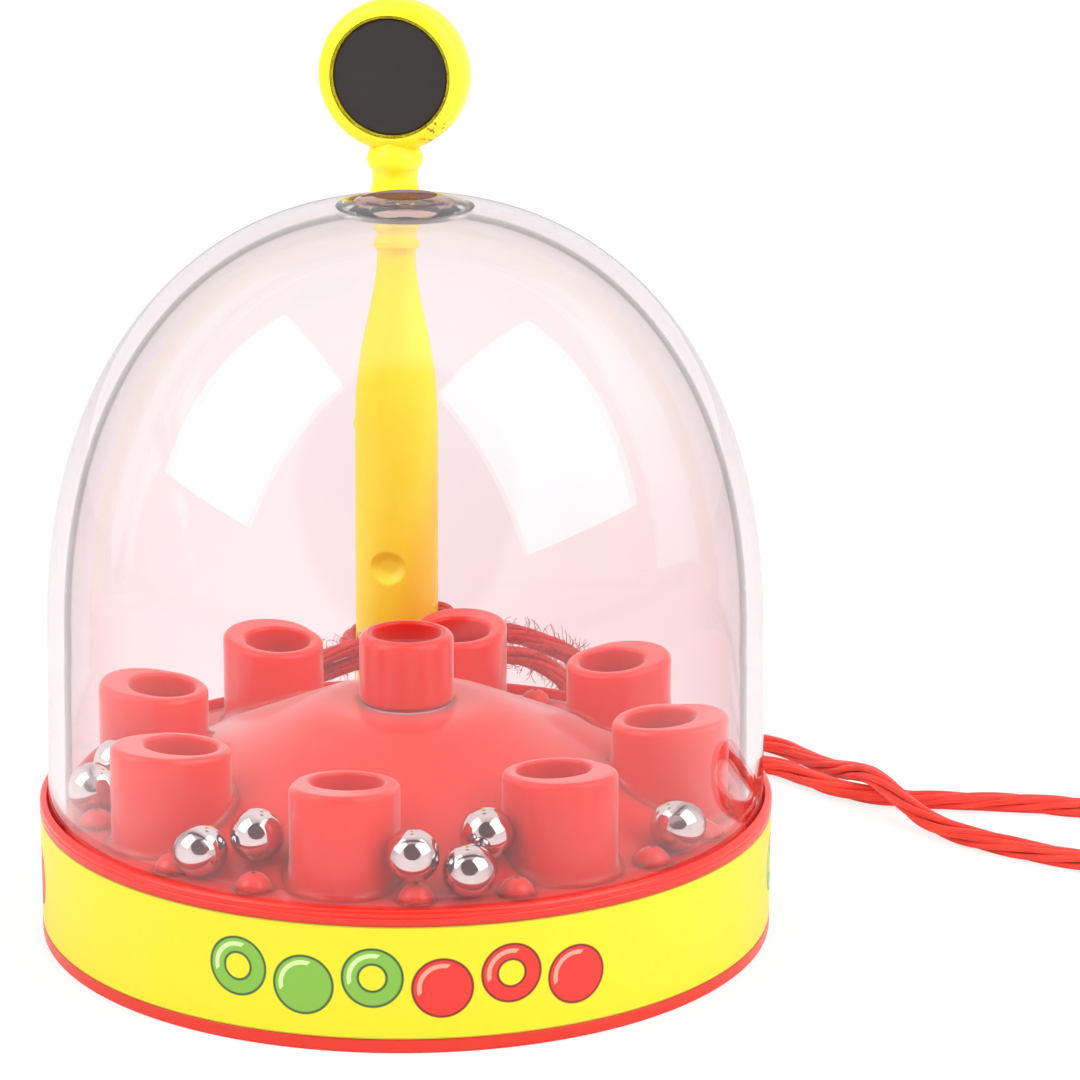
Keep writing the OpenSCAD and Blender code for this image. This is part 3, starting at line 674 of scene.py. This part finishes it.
# Seen edge on, the inner wall is painted as a dark line by the angle of view, and the plastic before it
# greys a little: painted shade for the dark edge of the clear wall. An inward face is one whose normal
# points towards the middle of the springing. Distances are in metres.
spot = add(tree, "ShaderNodeTexCoord")
axes = add(tree, "ShaderNodeSeparateXYZ", {"Vector": spot.outputs["Object"]})
lifted = add(tree, "ShaderNodeVectorMath", {0: spot.outputs["Object"], 1: (0, 0, -spring_z / 1000)})
inward = add(tree, "ShaderNodeVectorMath", {0: lifted, 1: spot.outputs["Normal"]},
             operation="DOT_PRODUCT")
inward = add(tree, "ShaderNodeMath", {0: inward.outputs["Value"], 1: 0.0}, operation="LESS_THAN")
slant = add(tree, "ShaderNodeLayerWeight", {"Blend": 0.5}).outputs["Facing"]
edge = add(tree, "ShaderNodeMath", {0: slant, 1: inward}, operation="MULTIPLY")
edge = add(tree, "ShaderNodeValToRGB", {"Fac": edge})
grade(edge, (0.45, "#FFFAFB"), (0.62, "#F2E6EA"), (0.79, "#D8C6CC"), (0.81, "#2A1C22"),
      (0.93, "#2E1C1F"))
deep = add(tree, "ShaderNodeMapRange", {"Value": axes.outputs["Z"], "From Min": 0.1, "From Max": 0.06})
tint = add(tree, "ShaderNodeMix", {"Factor": deep, 6: linear("#FFFAFB"), 7: linear("#FFEFF1")},
           data_type="RGBA")
# The tint is deeper low on the right: painted shade, for a darker streak there
right = add(tree, "ShaderNodeMapRange", {"Value": axes.outputs["X"], "From Min": -0.004,
                                         "From Max": 0.022})
low = add(tree, "ShaderNodeMapRange", {"Value": axes.outputs["Z"], "From Min": 0.09, "From Max": 0.06})
painted_streak_right = add(tree, "ShaderNodeMath", {0: right, 1: low}, operation="MULTIPLY")
tint = add(tree, "ShaderNodeMix", {"Factor": painted_streak_right, 6: tint, 7: linear("#F6E1E3")}, data_type="RGBA")
# Seen at a slant the tint turns rosier: partly the longer path through the tinted plastic, partly painted
# reflection of the light the wall carries round its edge
rose = add(tree, "ShaderNodeMapRange", {"Value": slant, "From Min": 0.6, "From Max": 0.74})
tint = add(tree, "ShaderNodeMix", {"Factor": rose, 6: tint, 7: linear("#FFE6EE")}, data_type="RGBA")
tint = add(tree, "ShaderNodeMix", {"Factor": inward, 6: tint, 7: edge}, data_type="RGBA")
# Over the gate's thick lens the plastic is tinted a darker pinkish brown
across = add(tree, "ShaderNodeVectorMath", {0: add(tree, "ShaderNodeCombineXYZ", {
    "X": axes.outputs["X"], "Y": axes.outputs["Y"]})}, operation="LENGTH").outputs["Value"]
plug = add(tree, "ShaderNodeMapRange", {"Value": across, "From Min": lens_r / 1000,
                                        "From Max": (lens_r - 1) / 1000})
tint = add(tree, "ShaderNodeMix", {"Factor": plug, 6: tint, 7: linear("#B88A84")}, data_type="RGBA")
wire(tree, shader, {"Base Color": tint})
rays = add(tree, "ShaderNodeLightPath")
open_way = add(tree, "ShaderNodeBsdfTransparent", {"Color": linear("#FEFCFC")})
unseen = add(tree, "ShaderNodeMath", {0: rays.outputs["Is Shadow Ray"], 1: rays.outputs["Is Diffuse Ray"]},
             operation="MAXIMUM")
through = add(tree, "ShaderNodeMixShader", {0: unseen, 1: shader, 2: open_way})
wire(tree, tree.nodes["Material Output"], {"Surface": through})
dome.data.materials.append(clear)

# The wand
# One yellow moulding: a round grip, a neck with a collar and bead, and a flat round head with a
# pocket for the magnet. The mould's parting line leaves a small nub on the grip.
handle_r, grip_foot, grip_top, neck_r, neck_z = 7.48, 20.0, 64.0, 3.68, 98.0
collar_r, collar_z, collar_half, collar_foot = 4.4, 102.3, 0.9, 1.4
waist_r, waist_z, bead_r, head_z, head_r, head_t = 3.85, 105.7, 4.75, 124.0, 12.8, 8.0
head_round, dish_h, wand_turn = 2.6, 0.8, radians(-13)
magnet_d, magnet_t, magnet_fit, magnet_sink, magnet_bevel = 19.6, 5.0, 0.1, 0.4, 0.3
bead_z, bead_round, bead_half = head_z - head_r - 1.4, 1.6, 2.2


def placed(grid):
    """A grid of the wand's own frame, turned about its axis and set where the wand stands."""
    x, y = grid[..., 0], grid[..., 1]
    return np.stack([wand_x + x * cos(wand_turn) - y * sin(wand_turn),
                     wand_y + x * sin(wand_turn) + y * cos(wand_turn), grid[..., 2]], -1)


t = np.linspace(0, 1, 60) ** 1.5
taper = np.stack([handle_r + (neck_r - handle_r) * (1 - np.cos(pi * t ** 1.2)) / 2,
                  grip_top + (neck_z - grip_top) * t], -1)
b = np.linspace(-pi / 3, pi / 3, 16)
bead = np.stack([bead_r - bead_round + bead_round * np.cos(b), bead_z + bead_half * np.sin(b)], -1)
shaft = np.linspace(grip_foot + 1, grip_top - 0.7, 180)
stem_profile = np.vstack([
    rounded([(0, 0, 0), (handle_r, 0, 1.2), (handle_r, grip_foot, 0)], 8),
    np.stack([0 * shaft + handle_r, shaft], -1), taper,
    rounded([(neck_r, collar_z - collar_foot, 0), (collar_r, collar_z - collar_half, 0.3),
             (collar_r, collar_z + collar_half, 0.5), (waist_r, waist_z, 0)], 6),
    bead, [[waist_r - 0.1, bead_z + bead_half + 0.2], [waist_r - 0.1, bead_z + 4], [0, bead_z + 4]]])
stem = turned(stem_profile, 240)
# The dimple is pressed into the grip's front, and the nub stands out at its left
dimple_w, dimple_l, dimple_h, dimple_z, dimple_flat = 6.5, 5.7, 1.4, 40.0, 1.3
away = np.hypot(stem[..., 0] / dimple_w, (stem[..., 2] - dimple_z) / dimple_l) * 2
stem[..., 1] += dimple_h * np.clip((1 - away ** 2) * dimple_flat, 0, 1) * (stem[..., 1] < 0)
nub_z, nub_r, nub_h = 64.3, 1.25, 0.5
away = np.hypot(stem[..., 1], stem[..., 2] - nub_z) / nub_r
stem[..., 0] -= nub_h * np.clip(1 - away ** 2, 0, 1) * (stem[..., 0] < 0)
pocket_r, pocket_h = magnet_d / 2 + magnet_fit, magnet_t + magnet_sink
head_profile = rounded([
    (0, dish_h, 0), (head_r - head_round - 1, 0.1, 2.0), (head_r, 0, head_round),
    (head_r, head_t, head_round), (pocket_r, head_t, 0.3), (pocket_r, head_t - pocket_h, 0.2),
    (0, head_t - pocket_h, 0)], 14)


def facing(profile):
    """The profile (radius, depth towards the player) turned about the head's own axis."""
    angle = np.linspace(0, 2 * pi, 160, endpoint=False)[:, None]
    return np.stack([profile[:, 0] * np.cos(angle), head_t / 2 - profile[:, 1] + 0 * angle,
                     head_z + profile[:, 0] * np.sin(angle)], -1)


wand = skin("wand_handle", [(placed(stem), True, False), (placed(facing(head_profile)), True, False)],
            "wand", "yellow_plastic", "wand")

# Polypropylene again, lemon yellow with a soft even gloss; the deeper yellow towards the foot is painted
# shade.
yellow_plastic, tree, shader = material(
    "moulded_yellow_polypropylene", IOR=1.49, Subsurface_Weight=0.2, Subsurface_Scale=0.003,
    Subsurface_Radius=(1.0, 0.6, 0.1))
place = add(tree, "ShaderNodeTexCoord").outputs["Object"]
axes = add(tree, "ShaderNodeSeparateXYZ", {"Vector": place})
flow_width = 11.0
flow = add(tree, "ShaderNodeTexNoise", {"Vector": place, "Scale": 1000 / flow_width, "Detail": 2.0})
# The colour goes by the height in metres, with uneven edges; its deeper yellow low down is painted shade
rise = add(tree, "ShaderNodeMath", {0: flow, 1: 0.008, 2: axes.outputs["Z"]}, operation="MULTIPLY_ADD")
# The left flank is painted paler and the right a little deeper: painted light and shade, as from the lamp
# on the left
painted_light_left = add(tree, "ShaderNodeMapRange", {
    "Value": axes.outputs["X"], "From Min": (wand_x - handle_r) / 1000,
    "From Max": (wand_x + handle_r) / 1000, "To Min": 0.04, "To Max": -0.025})
rise = add(tree, "ShaderNodeMath", {0: rise, 1: painted_light_left}, operation="ADD")
rise = add(tree, "ShaderNodeMapRange", {"Value": rise, "From Min": 0.02, "From Max": 0.12})
tone = add(tree, "ShaderNodeValToRGB", {"Fac": rise})
grade(tone, (0.1, "#FFDE44"), (0.3, "#FFF840"), (0.6, "#FFF840"), (0.8, "#FFF034"), (1.0, "#FFEE20"))
# Black rubbed off the magnet lies on the rim at its lower right
scuff_at, scuff_reach, speck = np.array([wand_x + 7.6, wand_y - 4.5, head_z - 9.0]), 4.2, 0.77
near = add(tree, "ShaderNodeVectorMath", {0: place, 1: (scuff_at / 1000).tolist()},
           operation="DISTANCE").outputs["Value"]
close = add(tree, "ShaderNodeMapRange", {"Value": near, "From Min": scuff_reach / 1000,
                                         "From Max": 0.5 * scuff_reach / 1000, "To Max": 0.75})
specks = add(tree, "ShaderNodeTexNoise", {"Vector": place, "Scale": 1000 / speck, "Detail": 4.0})
specks = add(tree, "ShaderNodeMapRange", {"Value": specks, "From Min": 0.56, "From Max": 0.64})
rubbed = add(tree, "ShaderNodeMath", {0: specks, 1: close}, operation="MULTIPLY")
tone = add(tree, "ShaderNodeMix", {"Factor": rubbed, 6: tone, 7: linear("#4A4030")}, data_type="RGBA")
rough = add(tree, "ShaderNodeMapRange", {"Value": flow, "To Min": 0.28, "To Max": 0.42})
wire(tree, shader, {"Base Color": tone, "Roughness": rough})
wand.data.materials.append(yellow_plastic)

# The magnet
# A pressed and sintered ferrite disc, dark grey with a fine dull grain. It is pushed into the head's
# pocket from the front, a little below the rim.
magnet_profile = rounded([
    (0, 0, 0), (magnet_d / 2, 0, 0.1), (magnet_d / 2, magnet_t - magnet_bevel, 0.05),
    (magnet_d / 2 - magnet_bevel, magnet_t, 0.05), (0, magnet_t, 0)], 4)
magnet_grid = placed(facing(magnet_profile + [0, head_t - magnet_sink - magnet_t]))
magnet = skin("magnet", [(magnet_grid, True, False)], "wand", "ferrite", "magnet_disc")
ferrite, tree, shader = material("sintered_ferrite", IOR=1.5, Roughness=0.62)
place = add(tree, "ShaderNodeTexCoord").outputs["Object"]
grain_size, grain_depth, cloud_size = 0.7, 0.08, 6.5
grit = add(tree, "ShaderNodeTexNoise", {"Vector": place, "Scale": 1000 / grain_size, "Detail": 4.0})
cloud = add(tree, "ShaderNodeTexNoise", {"Vector": place, "Scale": 1000 / cloud_size, "Detail": 2.0})
tone = add(tree, "ShaderNodeMix", {"Factor": cloud, 6: linear("#282424"), 7: linear("#302B2B")},
           data_type="RGBA")
bump = add(tree, "ShaderNodeBump", {"Height": grit, "Strength": 0.25, "Distance": grain_depth / 1000})
wire(tree, shader, {"Base Color": tone, "Normal": bump})
magnet.data.materials.append(ferrite)

# The balls
# Hardened and polished bearing steel, 8 mm across, loose in the gutter. Faint scuffs from rolling
# dull the polish in patches.
steel, tree, shader = material("polished_bearing_steel", Metallic=1.0)
place = add(tree, "ShaderNodeTexCoord").outputs["Object"]
scuff_size = 2.0
scuff = add(tree, "ShaderNodeTexNoise", {"Vector": place, "Scale": 1000 / scuff_size, "Detail": 5.0})
tone = add(tree, "ShaderNodeMix", {"Factor": scuff, 6: linear("#E4E2E0"), 7: linear("#F6F4F2")},
           data_type="RGBA")
rough = add(tree, "ShaderNodeMapRange", {"Value": scuff, "To Min": 0.04, "To Max": 0.13})
wire(tree, shader, {"Base Color": tone, "Roughness": rough})
ball_r = 4.0
s = np.linspace(0, pi, 33)
ball_profile = np.stack([ball_r * np.sin(s), -ball_r * np.cos(s)], -1)
for n in range(1, 9):
    low, high = (np.array(corner) * 1000 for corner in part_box(f"ball_{n}"))
    ball = skin(f"steel_ball_{n}", [(turned(ball_profile, 64) + (low + high) / 2, True, False)],
                f"ball_{n}", "ball_steel", f"ball_{n}")
    ball.data.materials.append(steel)

# The table, the sky and the lamps
# A matt white table under an even white sky. Mirrored light finds a dim room in that sky, a faint belt
# above the table and a dark patch above the camera, which draw the dark spots on the balls and the dome.
bpy.ops.mesh.primitive_plane_add(size=6.0)
table = bpy.context.object
table.name = "table"
white, tree, shader = material("white_table", Roughness=0.6)
wire(tree, shader, {"Base Color": linear("#FAF8F8")})
place = add(tree, "ShaderNodeTexCoord").outputs["Object"]
away = add(tree, "ShaderNodeVectorMath", {0: place}, operation="LENGTH").outputs["Value"]
rays = add(tree, "ShaderNodeLightPath")
# The camera sees the table fade to pure white, also through the dome
fade = add(tree, "ShaderNodeMapRange", {"Value": away, "From Min": 0.07, "From Max": 0.3, "To Min": 0.7})
seen = add(tree, "ShaderNodeMath", {0: rays.outputs["Is Camera Ray"],
                                    1: rays.outputs["Is Transmission Ray"]}, operation="MAXIMUM")
share = add(tree, "ShaderNodeMath", {0: seen, 1: fade}, operation="MULTIPLY")
glow = add(tree, "ShaderNodeEmission", {"Color": (1, 1, 1, 1), "Strength": 1.05})
table_top = add(tree, "ShaderNodeMixShader", {0: share, 1: shader, 2: glow})


def echoed(tree, rays):
    """One for light that was mirrored twice inside the dome and has left it, and nought for the rest."""
    mirrored = add(tree, "ShaderNodeMath", {0: rays.outputs["Glossy Depth"], 1: 1.5},
                   operation="GREATER_THAN")
    passed = add(tree, "ShaderNodeMath", {0: rays.outputs["Transmission Depth"], 1: 2.5},
                 operation="GREATER_THAN")
    return add(tree, "ShaderNodeMath", {0: mirrored, 1: passed}, operation="MULTIPLY")


# For light mirrored twice inside the dome the table gives a dim mauve glow: a painted dark reflection that
# draws the dome's dark edge
dim = add(tree, "ShaderNodeEmission", {"Color": linear("#6A5054"), "Strength": 1.0})
table_top = add(tree, "ShaderNodeMixShader", {0: echoed(tree, rays), 1: table_top, 2: dim})
wire(tree, tree.nodes["Material Output"], {"Surface": table_top})
table.data.materials.append(white)

world = bpy.data.worlds.new("sky")
bpy.context.scene.world = world
world.use_nodes = True
tree = world.node_tree
tree.nodes.clear()
rays = add(tree, "ShaderNodeLightPath")
way = add(tree, "ShaderNodeTexCoord").outputs["Generated"]
height = add(tree, "ShaderNodeSeparateXYZ", {"Vector": way}).outputs["Z"]
# The sky is as bright as white where it is seen, and lights the object a little less from the sides
seen = add(tree, "ShaderNodeMath", {0: rays.outputs["Is Camera Ray"], 1: rays.outputs["Is Glossy Ray"]},
           operation="MAXIMUM")
seen = add(tree, "ShaderNodeMath", {0: seen, 1: rays.outputs["Is Transmission Ray"]}, operation="MAXIMUM")
overhead = add(tree, "ShaderNodeMapRange", {"Value": height, "To Min": 0.57, "To Max": 1.05})
strength = add(tree, "ShaderNodeMapRange", {"Value": seen, "To Min": overhead, "To Max": 1.0})
# The belt fades in from 9 to 14 degrees up and out from 26 to 34, and the patch is a round one about a
# point 34 degrees up
low = add(tree, "ShaderNodeMapRange", {"Value": height, "From Min": sin(radians(34)),
                                       "From Max": sin(radians(26))})
high = add(tree, "ShaderNodeMapRange", {"Value": height, "From Min": sin(radians(9)),
                                        "From Max": sin(radians(14))})
belt = add(tree, "ShaderNodeMath", {0: low, 1: high}, operation="MULTIPLY")
belt = add(tree, "ShaderNodeMath", {0: belt, 1: 0.05}, operation="MULTIPLY")
patch_up = radians(34)
towards = add(tree, "ShaderNodeVectorMath", {0: way, 1: (0.0, -cos(patch_up), sin(patch_up))},
              operation="DOT_PRODUCT").outputs["Value"]
patch = add(tree, "ShaderNodeMapRange", {"Value": towards, "From Min": cos(radians(38)),
                                         "From Max": cos(radians(33))})
room = add(tree, "ShaderNodeMath", {0: belt, 1: patch}, operation="MAXIMUM")
mirrored = add(tree, "ShaderNodeMath", {0: rays.outputs["Glossy Depth"], 1: 0.5},
               operation="GREATER_THAN")
room = add(tree, "ShaderNodeMath", {0: mirrored, 1: room}, operation="MULTIPLY")
room = add(tree, "ShaderNodeMath", {0: room, 1: echoed(tree, rays)}, operation="MAXIMUM")
dimmed = add(tree, "ShaderNodeMath", {0: room, 1: -0.85, 2: 1.0}, operation="MULTIPLY_ADD")
strength = add(tree, "ShaderNodeMath", {0: strength, 1: dimmed}, operation="MULTIPLY")
walls = add(tree, "ShaderNodeMix", {"Factor": room, 6: (1, 1, 1, 1), 7: linear("#D9A9AC")},
            data_type="RGBA")
sky = add(tree, "ShaderNodeBackground", {"Color": walls, "Strength": strength})
add(tree, "ShaderNodeOutputWorld", {"Surface": sky})


def lamp(name, place, aim, width, height, watts, hidden=False):
    """A soft rectangular lamp at a place in metres, turned to face the aim. Hidden, it isn't mirrored."""
    data = bpy.data.lights.new(name, "AREA")
    data.shape, data.size, data.size_y, data.energy = "RECTANGLE", width, height, watts
    made = bpy.data.objects.new(name, data)
    made.visible_glossy = made.visible_transmission = not hidden
    back = np.array(place) - aim
    back = back / np.linalg.norm(back)
    flat = np.cross((0, 0, 1), back)
    flat = flat / np.linalg.norm(flat)
    made.matrix_world = Matrix(np.vstack([np.column_stack([flat, np.cross(back, flat), back, place]),
                                          [0, 0, 0, 1]]).tolist())
    bpy.context.collection.objects.link(made)


# Two softboxes show as bright panes on the dome's crown, and a weak fill in front isn't mirrored
middle_of_game = np.array([0.0, -0.02, 0.08])
lamp("left_softbox", (-0.68, -0.22, 0.67), middle_of_game, 0.66, 0.8, 3.7)
lamp("right_softbox", (0.64, -0.36, 0.67), middle_of_game, 0.82, 0.92, 5.2)
lamp("front_fill", (0.0, -1.5, 0.35), middle_of_game, 1.6, 0.9, 2.2, hidden=True)
